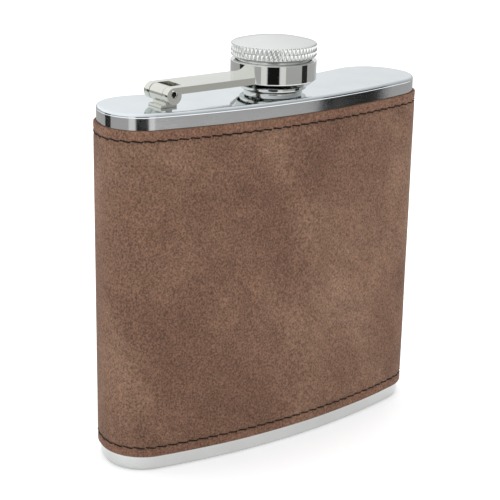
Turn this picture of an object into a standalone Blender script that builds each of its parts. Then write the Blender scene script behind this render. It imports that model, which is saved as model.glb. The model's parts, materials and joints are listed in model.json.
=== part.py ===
"""A curved six-ounce hip flask with a captive screw cap, standing on its base, in metres, +Z up.

The origin is on the base, under the axis of the cap. +X runs along the width with the hinge at -X, and the
convex front faces -Y. The cap unscrews upwards inside its collar, and the arm then swings it over the hinge.
"""

from math import asin, cos, pi, radians, sin

import bmesh
import bpy
from mathutils import Matrix, Vector

MM = 0.001

# Body: a steel sheet wrapped to a curved oval, closed by a plate at each end.
BODY_WIDTH = 95.0 * MM
BODY_DEPTH = 22.5 * MM
BODY_HEIGHT = 92.0 * MM
HIP_RADIUS = 163.0 * MM  # bend of the surface midway between front and back
END_FLAT = 0.75 * MM  # half the flat left between the two corner radii of an end
BODY_WALL = 0.6 * MM
PLATE_THICKNESS = 1.0 * MM
PLATE_EDGE_RADIUS = 0.7 * MM
BASE_INSET = 0.25 * MM
WELD_GAP = 0.25 * MM  # between pieces that are welded, pressed or glued together
EDGE_BREAK = 0.15 * MM  # of the small turned edges

# Leather wrap: one strip round the body, its ends meeting in the middle of the back.
LEATHER_THICKNESS = 0.5 * MM
LEATHER_BOTTOM = 4.0 * MM  # bare steel below the leather
LEATHER_TOP_MARGIN = 4.0 * MM  # bare steel above the leather
STITCH_MARGIN = 2.5 * MM  # from the leather's edge to its row of thread
SEAM_GAP = 0.3 * MM
THREAD_RADIUS = 0.2 * MM
STITCH_GROOVE_WIDTH = 0.9 * MM
STITCH_GROOVE_DEPTH = 0.34 * MM

# Neck: a threaded spout through the top plate. Heights are above the top plate.
NECK_BORE_RADIUS = 5.0 * MM
NECK_WALL = 0.85 * MM  # to the root of the thread
NECK_HEIGHT = 5.4 * MM
NECK_BOSS_REACH = 1.6 * MM  # of the boss past the thread's root
NECK_BOSS_HEIGHT = 0.75 * MM
NECK_LIP_REACH = 0.7 * MM  # of the lip swaged out below the plate
NECK_LIP_THICKNESS = 0.7 * MM
SCREW_LEAD = 1.5 * MM
SCREW_DEPTH = 0.45 * MM
SCREW_CLEARANCE = 0.35 * MM  # lets the cap swing off its neck at any height
SCREW_RELIEF = 1.5 * MM  # plain bore at the cap's mouth, which clears the neck's thread in two turns

# Cap: a knurled head pressed on a threaded ferrule whose flange holds it in the collar.
FERRULE_WALL = 0.55 * MM  # from the root of its thread
FERRULE_FLANGE_REACH = 0.8 * MM
FERRULE_FLANGE_THICKNESS = 1.0 * MM
SEAT_GAP = 0.3 * MM  # between the ferrule and the neck's boss
CAP_RISE = 3.0 * MM  # two turns of the thread
KNURL_TEETH = 60
KNURL_ROWS = 2
KNURL_HEIGHT = 3.0 * MM
KNURL_DEPTH = 0.3 * MM
CAP_DOME_HEIGHT = 1.4 * MM
CAP_CHAMFER = 0.5 * MM
CAP_GAP = 0.7 * MM  # between the head's knurled rim and the collar
CAP_SPIGOT_DEPTH = 1.1 * MM  # of the plain part below that rim, which goes into the collar's recess
CAP_SPIGOT_GAP = 0.35 * MM  # round the spigot, in that recess
SEAL_THICKNESS = 1.0 * MM
SEAL_GAP = 0.3 * MM  # between the seal and the neck's rim

# Collar and arm: the collar floats round the ferrule, and the arm ties it to the hinge.
RUNNING_GAP = 0.2 * MM
COLLAR_BOTTOM = 3.5 * MM  # of its upright wall, flush with the arm
COLLAR_SKIRT_DROP = 1.3 * MM  # of the sloped skirt below that wall
COLLAR_SKIRT_RIM = 0.35 * MM
COLLAR_WALL = 1.2 * MM
COLLAR_LIP_THICKNESS = 1.2 * MM
COLLAR_RECESS_DEPTH = 1.75 * MM
COLLAR_BEVEL = 0.2 * MM
FLANGE_GAP = 0.6 * MM  # round the flange, in the collar's counterbore
HINGE_REACH = 33.3 * MM  # from the cap's axis to the hinge pin
ARM_WIDTH = 10.3 * MM
ARM_THICKNESS = 1.7 * MM
ARM_EDGE = 0.15 * MM
ARM_WINDOW = 1.6 * MM  # open length between the knuckle and the strap
LUG_THICKNESS = 2.2 * MM
LUG_RADIUS = 2.05 * MM
LUG_DROP = 0.4 * MM  # of the lug's centre below the pin
PIN_RADIUS = 0.9 * MM
PIN_BORE_RADIUS = 0.65 * MM
PIN_FIT = 0.06 * MM
KNUCKLE_POST = 1.9 * MM
KNUCKLE_FOOT_LENGTH = 4.6 * MM
KNUCKLE_FOOT_THICKNESS = 0.6 * MM
SIDE_GAP = 0.15 * MM  # between the knuckle and each lug

# Facets of a round shape.
BODY_ARC_STEPS = 6
CORNER_STEPS = 7
ROUND_STEPS = 40
SMALL_ROUND_STEPS = 20
THREAD_ROWS_PER_TURN = 6
STITCH_SIDES = 4

# Heights and radii that follow.
END_RADIUS = BODY_DEPTH / 2 - END_FLAT
TOP = BODY_HEIGHT
LEATHER_TOP = BODY_HEIGHT - LEATHER_TOP_MARGIN
LEATHER_INSIDE = WELD_GAP
LEATHER_OUTSIDE = LEATHER_INSIDE + LEATHER_THICKNESS
THREAD_OFFSET = LEATHER_OUTSIDE - THREAD_RADIUS / 2
NECK_ROOT = NECK_BORE_RADIUS + NECK_WALL
NECK_CREST = NECK_ROOT + SCREW_DEPTH
FERRULE_CREST = NECK_CREST + SCREW_CLEARANCE
FERRULE_ROOT = FERRULE_CREST + SCREW_DEPTH
FERRULE_RADIUS = FERRULE_ROOT + FERRULE_WALL
FLANGE_RADIUS = FERRULE_RADIUS + FERRULE_FLANGE_REACH
FERRULE_BOTTOM = NECK_BOSS_HEIGHT + SEAT_GAP
FLANGE_TOP = FERRULE_BOTTOM + FERRULE_FLANGE_THICKNESS
COLLAR_BORE = FERRULE_RADIUS + RUNNING_GAP
COLLAR_COUNTERBORE = FLANGE_RADIUS + FLANGE_GAP
COLLAR_RADIUS = COLLAR_COUNTERBORE + FLANGE_GAP + COLLAR_WALL
SKIRT_BOTTOM = COLLAR_BOTTOM - COLLAR_SKIRT_DROP
LIP_BOTTOM = FLANGE_TOP + CAP_RISE + RUNNING_GAP
LIP_TOP = LIP_BOTTOM + COLLAR_LIP_THICKNESS
COLLAR_TOP = LIP_TOP + COLLAR_RECESS_DEPTH
SEAL_BOTTOM = NECK_HEIGHT + SEAL_GAP
SEAL_TOP = SEAL_BOTTOM + SEAL_THICKNESS
HEAD_BOTTOM = COLLAR_TOP + CAP_GAP
KNURL_BOTTOM = HEAD_BOTTOM + CAP_CHAMFER
KNURL_TOP = KNURL_BOTTOM + KNURL_HEIGHT
CAP_TOP = KNURL_TOP + CAP_DOME_HEIGHT
STUB_RADIUS = FERRULE_CREST - SCREW_DEPTH
SPIGOT_BOTTOM = HEAD_BOTTOM - CAP_SPIGOT_DEPTH
SPIGOT_RADIUS = COLLAR_RADIUS - COLLAR_WALL - CAP_SPIGOT_GAP
FERRULE_TOP = SPIGOT_BOTTOM - WELD_GAP
ARM_TOP = COLLAR_BOTTOM + ARM_THICKNESS
LUG_TOP = LUG_RADIUS - LUG_DROP
PIN_HEIGHT = ARM_TOP - LUG_TOP
KNUCKLE_WIDTH = ARM_WIDTH - 2 * (LUG_THICKNESS + SIDE_GAP)
HINGE = Vector((-HINGE_REACH, 0.0, TOP + PIN_HEIGHT))
SAME_PLACE = 1e-7


# ---------------------------------------------------------------- materials


def material(name, colour, roughness, metallic=0.0):
    """One Principled material."""
    made = bpy.data.materials.new(name)
    made.use_nodes = True
    shader = made.node_tree.nodes["Principled BSDF"]
    shader.inputs["Base Color"].default_value = (*colour, 1.0)
    shader.inputs["Roughness"].default_value = roughness
    shader.inputs["Metallic"].default_value = metallic
    made.diffuse_color = (*colour, 1.0)
    return made


def make_materials():
    """Every finish of the flask, by name."""
    return {
        "satin_steel": material("satin_steel", (0.72, 0.73, 0.74), 0.3, 1.0),
        "polished_steel": material("polished_steel", (0.80, 0.82, 0.84), 0.08, 1.0),
        "chrome": material("chrome", (0.82, 0.82, 0.80), 0.05, 1.0),
        "leather": material("leather", (0.23, 0.13, 0.09), 0.75),
        "black_thread": material("black_thread", (0.03, 0.02, 0.02), 0.8),
        "silicone": material("silicone", (0.85, 0.85, 0.82), 0.5),
    }


# ---------------------------------------------------------------- mesh helpers


def publish(bm, name, finish, smooth_degrees=35):
    """Makes the scene's object of a bmesh, with its faces pointing out and its round sides smooth."""
    bmesh.ops.recalc_face_normals(bm, faces=bm.faces)
    mesh = bpy.data.meshes.new(name)
    bm.to_mesh(mesh)
    bm.free()
    mesh.shade_smooth()
    mesh.set_sharp_from_angle(angle=radians(smooth_degrees))
    mesh.materials.append(finish)
    made = bpy.data.objects.new(name, mesh)
    bpy.context.collection.objects.link(made)
    return made


def cutter(bm, name):
    """A helper solid that a Boolean takes away, and that isn't part of the flask."""
    bmesh.ops.recalc_face_normals(bm, faces=bm.faces)
    mesh = bpy.data.meshes.new(name)
    bm.to_mesh(mesh)
    bm.free()
    made = bpy.data.objects.new(name, mesh)
    bpy.context.collection.objects.link(made)
    made.hide_render = True
    made.display_type = "WIRE"
    return made


def cut(target, *tools):
    """Takes each tool away from the target."""
    for tool in tools:
        boolean = target.modifiers.new(tool.name, "BOOLEAN")
        boolean.operation = "DIFFERENCE"
        boolean.object = tool


def bridge(bm, first, second, closed):
    """Quads between two rows of vertices of the same length."""
    count = len(first) if closed else len(first) - 1
    for i in range(count):
        j = (i + 1) % len(first)
        bm.faces.new((first[i], first[j], second[j], second[i]))


def arc(centre, radius, start, end, steps):
    """Points of a circular arc, both ends included."""
    angles = [start + (end - start) * i / steps for i in range(steps + 1)]
    return [(centre[0] + radius * cos(a), centre[1] + radius * sin(a)) for a in angles]


def hip_outline(offset, seam=0.0):
    """The body's outline, offset outwards, from the middle of the back round by +X and the front.

    With a seam it starts and ends that far apart in the middle of the back, and isn't a closed loop.
    """
    bend = (0.0, HIP_RADIUS)
    front = HIP_RADIUS + BODY_DEPTH / 2
    back = HIP_RADIUS - BODY_DEPTH / 2
    half_angle = asin((BODY_WIDTH / 2 - END_RADIUS) / (front - END_RADIUS))

    def corner_centre(radius):
        return (radius * sin(half_angle), HIP_RADIUS - radius * cos(half_angle))

    start = seam / 2 / back
    back_arc = arc(bend, back - offset, start - pi / 2, half_angle - pi / 2, BODY_ARC_STEPS)
    back_corner = arc(
        corner_centre(back + END_RADIUS), END_RADIUS + offset, half_angle + pi / 2, half_angle, CORNER_STEPS
    )
    front_corner = arc(
        corner_centre(front - END_RADIUS), END_RADIUS + offset, half_angle, half_angle - pi / 2, CORNER_STEPS
    )
    front_arc = arc(bend, front + offset, half_angle - pi / 2, -pi / 2, BODY_ARC_STEPS)
    right = back_arc + back_corner[1:] + front_corner + front_arc[1:]
    mirrored = [(-x, y) for x, y in reversed(right[:-1])]
    return right + (mirrored if seam else mirrored[:-1])


def wrapped(name, section, finish, seam=0.0):
    """A band round the body, whose closed section is a list of (offset, height)."""
    bm = bmesh.new()
    rows = [[bm.verts.new((x, y, z)) for x, y in hip_outline(offset, seam)] for offset, z in section]
    for row, following in zip(rows, rows[1:] + rows[:1]):
        bridge(bm, row, following, closed=not seam)
    if seam:
        bm.faces.new([row[0] for row in rows])
        bm.faces.new([row[-1] for row in rows])
    return publish(bm, name, finish)


def stacked(name, levels, finish):
    """A solid plate of the body's outline, built up through a list of (offset, height)."""
    bm = bmesh.new()
    rows = [[bm.verts.new((x, y, z)) for x, y in hip_outline(offset)] for offset, z in levels]
    for row, following in zip(rows, rows[1:]):
        bridge(bm, row, following, closed=True)
    bm.faces.new(rows[0])
    bm.faces.new(rows[-1])
    return publish(bm, name, finish)


def spun(profile, steps):
    """A bmesh turned about Z from a profile of (radius, height): a loop, unless it starts on the axis."""
    bm = bmesh.new()
    verts = [bm.verts.new((radius, 0.0, z)) for radius, z in profile]
    solid = profile[0][0] == 0.0
    ends = verts[1:] if solid else verts[1:] + verts[:1]
    edges = [bm.edges.new(pair) for pair in zip(verts, ends)]
    bmesh.ops.spin(
        bm,
        geom=verts + edges,
        cent=(0.0, 0.0, 0.0),
        axis=(0.0, 0.0, 1.0),
        angle=2 * pi,
        steps=steps,
        use_merge=True,
    )
    bmesh.ops.remove_doubles(bm, verts=bm.verts, dist=SAME_PLACE)
    return bm


def turned(name, profile, finish, steps=ROUND_STEPS):
    """A turned piece above the top plate, its profile a list of (radius, height above the plate)."""
    made = publish(spun(profile, steps), name, finish)
    made.location.z = TOP
    return made


def side_extruded(outline, width):
    """A bmesh of an outline in X and Z, extruded along Y to a width centred on Y = 0."""
    bm = bmesh.new()
    face = bm.faces.new([bm.verts.new((x, -width / 2, z)) for x, z in outline])
    moved = bmesh.ops.extrude_face_region(bm, geom=[face])["geom"]
    moved_verts = [part for part in moved if isinstance(part, bmesh.types.BMVert)]
    bmesh.ops.translate(bm, verts=moved_verts, vec=(0.0, width, 0.0))
    return bm


def cross_rod(radius, length, steps):
    """A bmesh of a rod along Y, centred on the hinge's axis in its own frame."""
    bm = bmesh.new()
    bmesh.ops.create_cone(
        bm, cap_ends=True, segments=steps, radius1=radius, radius2=radius, depth=length
    )
    bmesh.ops.rotate(bm, verts=bm.verts, cent=(0.0, 0.0, 0.0), matrix=Matrix.Rotation(pi / 2, 3, "X"))
    return bm


def box(size, centre):
    """A bmesh of a box."""
    bm = bmesh.new()
    bmesh.ops.create_cube(bm, size=1.0)
    bmesh.ops.scale(bm, verts=bm.verts, vec=size)
    bmesh.ops.translate(bm, verts=bm.verts, vec=centre)
    return bm


# ---------------------------------------------------------------- body


def make_body_shell(finish):
    """The wrapped sheet, between the two plates."""
    bottom = PLATE_THICKNESS + WELD_GAP
    top = TOP - PLATE_THICKNESS - WELD_GAP
    section = [(0.0, bottom), (0.0, top), (-BODY_WALL, top), (-BODY_WALL, bottom)]
    return wrapped("body_shell", section, finish)


def edge_levels(offset, flat, side):
    """Levels from a plate's flat face, round its edge, to its side, as (offset, height)."""
    steps = 3
    turn = 1 if side > flat else -1
    angles = [pi / 2 * i / steps for i in range(steps + 1)]
    return [
        (offset - PLATE_EDGE_RADIUS * (1 - sin(a)), flat + turn * PLATE_EDGE_RADIUS * (1 - cos(a)))
        for a in angles
    ] + [(offset, side)]


def make_base_plate(finish):
    """The flat base, its lower edge rounded."""
    return stacked("base_plate", edge_levels(-BASE_INSET, 0.0, PLATE_THICKNESS), finish)


def make_top_plate(finish):
    """The flat top, its upper edge rounded, pierced for the neck."""
    plate = stacked("top_plate", edge_levels(0.0, TOP, TOP - PLATE_THICKNESS), finish)
    hole = bmesh.new()
    bmesh.ops.create_cone(
        hole,
        cap_ends=True,
        segments=ROUND_STEPS,
        radius1=NECK_ROOT + EDGE_BREAK + WELD_GAP,
        radius2=NECK_ROOT + EDGE_BREAK + WELD_GAP,
        depth=4 * PLATE_THICKNESS,
    )
    drill = cutter(hole, "neck_hole_cutter")
    drill.location.z = TOP
    cut(plate, drill)
    return plate


# ---------------------------------------------------------------- leather and thread


def stitch_heights():
    """Heights of the lower and the upper row of thread."""
    return LEATHER_BOTTOM + STITCH_MARGIN, LEATHER_TOP - STITCH_MARGIN


def make_leather_wrap(finish):
    """The strip of leather, with a pressed groove for each row of thread."""
    outer = []
    for height in stitch_heights():
        outer += [
            (LEATHER_OUTSIDE, height - STITCH_GROOVE_WIDTH / 2),
            (LEATHER_OUTSIDE - STITCH_GROOVE_DEPTH, height - THREAD_RADIUS),
            (LEATHER_OUTSIDE - STITCH_GROOVE_DEPTH, height + THREAD_RADIUS),
            (LEATHER_OUTSIDE, height + STITCH_GROOVE_WIDTH / 2),
        ]
    section = [(LEATHER_OUTSIDE, LEATHER_BOTTOM), *outer, (LEATHER_OUTSIDE, LEATHER_TOP)]
    section += [(LEATHER_INSIDE, LEATHER_TOP), (LEATHER_INSIDE, LEATHER_BOTTOM)]
    return wrapped("leather_wrap", section, finish, seam=SEAM_GAP)


def make_stitch_row(name, height, finish):
    """One row of thread round the leather, lying in its groove."""
    angles = [2 * pi * (i + 0.5) / STITCH_SIDES for i in range(STITCH_SIDES)]
    section = [
        (THREAD_OFFSET + THREAD_RADIUS * cos(a) / 2, height + THREAD_RADIUS * sin(a)) for a in angles
    ]
    return wrapped(name, section, finish)


# ---------------------------------------------------------------- neck and cap


def screw_rows(radius, bottom, top):
    """Profile points up a threaded wall."""
    count = max(4, round((top - bottom) / SCREW_LEAD * THREAD_ROWS_PER_TURN))
    return [(radius, bottom + (top - bottom) * i / count) for i in range(count + 1)]


def roll_screw(bm, radius, bottom, top, height):
    """Raises a round thread, of that height, on the wall of that radius. It runs out at both ends."""
    for vert in bm.verts:
        here = vert.co.xy.length
        if abs(here - radius) > SAME_PLACE or not bottom <= vert.co.z <= top:
            continue
        run_out = min(1.0, (vert.co.z - bottom) / (SCREW_LEAD / 2), (top - vert.co.z) / (SCREW_LEAD / 2))
        turn = vert.co.z / SCREW_LEAD - vert.co.xy.angle_signed(Vector((1.0, 0.0))) / (2 * pi)
        vert.co.xy *= (radius + height * run_out * (0.5 + 0.5 * cos(2 * pi * turn))) / here


def make_neck(finish):
    """The spout: a boss on the plate, a thread above it and a lip swaged out below the plate."""
    lip_top = -PLATE_THICKNESS - WELD_GAP
    lip_bottom = lip_top - NECK_LIP_THICKNESS
    through = NECK_ROOT + EDGE_BREAK
    boss = NECK_ROOT + NECK_BOSS_REACH
    thread_bottom = NECK_BOSS_HEIGHT + SEAT_GAP / 2
    thread_top = NECK_HEIGHT - NECK_WALL / 2
    rim = NECK_WALL / 3
    profile = [
        (NECK_BORE_RADIUS, lip_bottom),
        (through + NECK_LIP_REACH, lip_bottom),
        (through + NECK_LIP_REACH, lip_top),
        (through, lip_top),
        (through, WELD_GAP),
        (boss, WELD_GAP),
        (boss, NECK_BOSS_HEIGHT - rim),
        (boss - rim, NECK_BOSS_HEIGHT),
        (NECK_ROOT, NECK_BOSS_HEIGHT),
        *screw_rows(NECK_ROOT, thread_bottom, thread_top),
        (NECK_ROOT - rim, NECK_HEIGHT),
        (NECK_BORE_RADIUS + rim, NECK_HEIGHT),
        (NECK_BORE_RADIUS, NECK_HEIGHT - rim),
    ]
    bm = spun(profile, ROUND_STEPS)
    roll_screw(bm, NECK_ROOT, thread_bottom, thread_top, SCREW_DEPTH)
    made = publish(bm, "neck", finish)
    made.location.z = TOP
    return made


def make_ferrule(finish):
    """The cap's threaded skirt, with the flange that keeps it in the collar."""
    seat = SEAL_TOP + WELD_GAP
    stub_hole = STUB_RADIUS + WELD_GAP
    thread_bottom = FERRULE_BOTTOM + SCREW_RELIEF
    thread_top = SEAL_BOTTOM - EDGE_BREAK
    profile = [
        (FLANGE_RADIUS - 2 * EDGE_BREAK, FERRULE_BOTTOM),
        (FLANGE_RADIUS, FERRULE_BOTTOM + 2 * EDGE_BREAK),
        (FLANGE_RADIUS, FLANGE_TOP - EDGE_BREAK),
        (FLANGE_RADIUS - EDGE_BREAK, FLANGE_TOP),
        (FERRULE_RADIUS, FLANGE_TOP),
        (FERRULE_RADIUS, FERRULE_TOP),
        (stub_hole, FERRULE_TOP),
        (stub_hole, seat),
        (FERRULE_ROOT, seat),
        *reversed(screw_rows(FERRULE_ROOT, thread_bottom, thread_top)),
        (FERRULE_ROOT, FERRULE_BOTTOM),
    ]
    bm = spun(profile, ROUND_STEPS)
    roll_screw(bm, FERRULE_ROOT, thread_bottom, thread_top, -SCREW_DEPTH)
    made = publish(bm, "cap_ferrule", finish)
    made.location.z = TOP
    return made


def cut_knurl(bm):
    """Sinks every other corner of the band's grid, which leaves rows of diamonds."""
    for vert in bm.verts:
        if abs(vert.co.xy.length - COLLAR_RADIUS) > SAME_PLACE:
            continue
        row = round((vert.co.z - KNURL_BOTTOM) / KNURL_HEIGHT * KNURL_ROWS)
        column = round(vert.co.xy.angle_signed(Vector((1.0, 0.0))) / (2 * pi) * 2 * KNURL_TEETH)
        if (row + column) % 2:
            vert.co.xy *= (COLLAR_RADIUS - KNURL_DEPTH) / COLLAR_RADIUS


def make_cap_head(finish):
    """The domed, knurled head, with its plain spigot and the stub that is pressed into the ferrule."""
    rim = COLLAR_RADIUS - KNURL_DEPTH
    knurl = [
        (COLLAR_RADIUS, KNURL_BOTTOM + KNURL_HEIGHT * i / KNURL_ROWS) for i in range(KNURL_ROWS + 1)
    ]
    dome_radius = (rim**2 + CAP_DOME_HEIGHT**2) / (2 * CAP_DOME_HEIGHT)
    dome = []
    for share in (0.7, 0.35):
        across = rim * share
        dome.append((across, CAP_TOP - dome_radius + (dome_radius**2 - across**2) ** 0.5))
    profile = [
        (0.0, SEAL_TOP + WELD_GAP),
        (STUB_RADIUS, SEAL_TOP + WELD_GAP),
        (STUB_RADIUS, SPIGOT_BOTTOM),
        (SPIGOT_RADIUS - EDGE_BREAK, SPIGOT_BOTTOM),
        (SPIGOT_RADIUS, SPIGOT_BOTTOM + EDGE_BREAK),
        (SPIGOT_RADIUS, HEAD_BOTTOM),
        (rim - CAP_CHAMFER, HEAD_BOTTOM),
        *knurl,
        (rim, KNURL_TOP + EDGE_BREAK),
        *dome,
        (0.0, CAP_TOP),
    ]
    bm = spun(profile, 2 * KNURL_TEETH)
    cut_knurl(bm)
    made = publish(bm, "cap_head", finish, smooth_degrees=20)
    made.location.z = TOP
    return made


def make_seal(finish):
    """The silicone disc under the cap's stub, held by the crest of the ferrule's thread."""
    radius = (FERRULE_CREST + FERRULE_ROOT) / 2
    return turned(
        "seal_washer",
        [(0.0, SEAL_BOTTOM), (radius, SEAL_BOTTOM), (radius, SEAL_TOP), (0.0, SEAL_TOP)],
        finish,
        SMALL_ROUND_STEPS,
    )


def make_collar(finish):
    """The ring round the ferrule: its inner lip stops the ferrule's flange."""
    recess = COLLAR_RADIUS - COLLAR_WALL
    return turned(
        "cap_collar",
        [
            (COLLAR_COUNTERBORE, SKIRT_BOTTOM),
            (COLLAR_COUNTERBORE + COLLAR_SKIRT_RIM, SKIRT_BOTTOM),
            (COLLAR_RADIUS, COLLAR_BOTTOM),
            (COLLAR_RADIUS, COLLAR_TOP - COLLAR_BEVEL),
            (COLLAR_RADIUS - COLLAR_BEVEL, COLLAR_TOP),
            (recess, COLLAR_TOP),
            (recess, LIP_TOP),
            (COLLAR_BORE, LIP_TOP),
            (COLLAR_BORE, LIP_BOTTOM),
            (COLLAR_COUNTERBORE, LIP_BOTTOM),
        ],
        finish,
    )


# ---------------------------------------------------------------- hinge


def place_on_hinge(obj):
    """Puts a piece modelled round the hinge's axis in its place."""
    obj.location = HINGE


def make_hinge_arm(finish):
    """The strap from the collar to the hinge, ending in two lugs. It is modelled round the hinge's axis."""
    bottom = LUG_TOP - ARM_THICKNESS
    leave = asin((bottom + LUG_DROP) / LUG_RADIUS)
    lug = arc((0.0, -LUG_DROP), LUG_RADIUS, pi / 2, 2 * pi + leave, SMALL_ROUND_STEPS)
    outline = [*lug, (HINGE_REACH, bottom), (HINGE_REACH, LUG_TOP)]
    bm = side_extruded(outline, ARM_WIDTH)
    made = publish(bm, "hinge_arm", finish)

    between_lugs = ARM_WIDTH - 2 * LUG_THICKNESS
    reach = LUG_RADIUS + ARM_WINDOW
    slot_centre = (-reach / 2, 0.0, 0.0)
    slot = cutter(box((3 * reach, between_lugs, 4 * LUG_RADIUS), slot_centre), "arm_slot_cutter")
    ring = bmesh.new()
    radius = COLLAR_RADIUS + WELD_GAP
    bmesh.ops.create_cone(
        ring, cap_ends=True, segments=2 * ROUND_STEPS, radius1=radius, radius2=radius, depth=4 * LUG_RADIUS
    )
    bmesh.ops.translate(ring, verts=ring.verts, vec=(HINGE_REACH, 0.0, 0.0))
    collar_seat = cutter(ring, "arm_collar_cutter")
    pin_hole = cutter(
        cross_rod(PIN_RADIUS + PIN_FIT, 2 * ARM_WIDTH, SMALL_ROUND_STEPS), "arm_pin_cutter"
    )
    cut(made, slot, collar_seat, pin_hole)
    for piece in (made, slot, collar_seat, pin_hole):
        place_on_hinge(piece)
    edges = made.modifiers.new("edges", "BEVEL")
    edges.width = ARM_EDGE
    edges.segments = 1
    edges.limit_method = "ANGLE"
    edges.angle_limit = radians(50)
    return made


def make_hinge_knuckle(finish):
    """The post welded to the top plate, whose barrel turns on the pin between the arm's lugs."""
    floor = -PIN_HEIGHT + WELD_GAP
    foot = floor + KNUCKLE_FOOT_THICKNESS
    half_post, half_foot = KNUCKLE_POST / 2, KNUCKLE_FOOT_LENGTH / 2
    meet = asin(half_post / LUG_RADIUS)
    barrel = arc((0.0, -LUG_DROP), LUG_RADIUS, -pi / 2 + meet, 3 * pi / 2 - meet, SMALL_ROUND_STEPS)
    outline = [
        (half_foot, floor),
        (half_foot, foot),
        (half_post, foot),
        *barrel,
        (-half_post, foot),
        (-half_foot, foot),
        (-half_foot, floor),
    ]
    made = publish(side_extruded(outline, KNUCKLE_WIDTH), "hinge_knuckle", finish)
    hole = cutter(
        cross_rod(PIN_RADIUS + PIN_FIT, 2 * KNUCKLE_WIDTH, SMALL_ROUND_STEPS), "knuckle_pin_cutter"
    )
    cut(made, hole)
    place_on_hinge(made)
    place_on_hinge(hole)
    return made


def make_hinge_pin(finish):
    """A hollow pin, as long as the arm is wide."""
    made = publish(cross_rod(PIN_RADIUS, ARM_WIDTH, SMALL_ROUND_STEPS), "hinge_pin", finish)
    bore = cutter(cross_rod(PIN_BORE_RADIUS, 2 * ARM_WIDTH, SMALL_ROUND_STEPS), "pin_bore_cutter")
    cut(made, bore)
    place_on_hinge(made)
    place_on_hinge(bore)
    return made


def main():
    """Clears the scene and builds the flask."""
    for old in list(bpy.data.objects):
        bpy.data.objects.remove(old)
    finishes = make_materials()
    make_body_shell(finishes["satin_steel"])
    make_base_plate(finishes["satin_steel"])
    make_top_plate(finishes["polished_steel"])
    make_leather_wrap(finishes["leather"])
    lower, upper = stitch_heights()
    make_stitch_row("lower_stitching", lower, finishes["black_thread"])
    make_stitch_row("upper_stitching", upper, finishes["black_thread"])
    make_neck(finishes["polished_steel"])
    make_hinge_knuckle(finishes["chrome"])
    make_hinge_pin(finishes["chrome"])
    make_hinge_arm(finishes["chrome"])
    make_collar(finishes["chrome"])
    make_ferrule(finishes["chrome"])
    make_seal(finishes["silicone"])
    make_cap_head(finishes["satin_steel"])


main()
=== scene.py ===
"""The looks of a curved hip flask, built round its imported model.

Every length is in metres unless its name says mm. The flask stands on the floor at the origin, its convex
front towards -Y, its hinge at -X and its cap's axis on Z.
"""

import json
import logging
from dataclasses import dataclass, field
from enum import Enum
from math import asin, atan2, cos, degrees, floor, hypot, pi, radians, sin
from typing import Sequence

import bmesh
import bpy
import numpy as np
from mathutils import Matrix, Vector


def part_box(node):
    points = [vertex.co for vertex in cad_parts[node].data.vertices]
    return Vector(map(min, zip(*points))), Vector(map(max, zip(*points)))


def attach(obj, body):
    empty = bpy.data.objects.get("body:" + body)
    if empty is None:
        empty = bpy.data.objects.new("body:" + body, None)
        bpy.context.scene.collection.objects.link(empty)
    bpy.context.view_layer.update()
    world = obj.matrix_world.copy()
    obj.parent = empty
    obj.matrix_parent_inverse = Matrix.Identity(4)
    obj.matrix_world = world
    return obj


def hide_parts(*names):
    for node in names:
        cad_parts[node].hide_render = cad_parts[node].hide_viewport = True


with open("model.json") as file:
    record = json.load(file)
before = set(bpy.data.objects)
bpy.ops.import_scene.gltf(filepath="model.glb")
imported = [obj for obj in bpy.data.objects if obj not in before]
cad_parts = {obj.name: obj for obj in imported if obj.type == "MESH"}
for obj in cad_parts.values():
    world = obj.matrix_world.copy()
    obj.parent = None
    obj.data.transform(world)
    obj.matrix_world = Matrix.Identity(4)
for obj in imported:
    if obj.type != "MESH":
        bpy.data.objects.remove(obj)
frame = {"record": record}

LOG = logging.getLogger("hip_flask")
MM = 0.001
BELL_BASE = 2.718

Point2 = tuple[float, float]
Colour = tuple[float, float, float]


class Body(Enum):
    """The moving bodies of the flask."""

    FLASK = "flask"
    COLLAR_ARM = "collar_arm"
    CAP_SEAL = "cap_seal"
    CAP = "cap"


class Slot(Enum):
    """The record's material slots."""

    SATIN_STEEL = "satin_steel"
    POLISHED_STEEL = "polished_steel"
    CHROME = "chrome"
    LEATHER = "leather"
    BLACK_THREAD = "black_thread"
    SILICONE = "silicone"


class Brush(Enum):
    """Which way a metal was brushed, as the stretch of its scratches along X, Y and Z."""

    NONE = (1.0, 1.0, 1.0)
    LEVEL = (0.02, 0.02, 1.0)


# ---------------------------------------------------------------- materials


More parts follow.
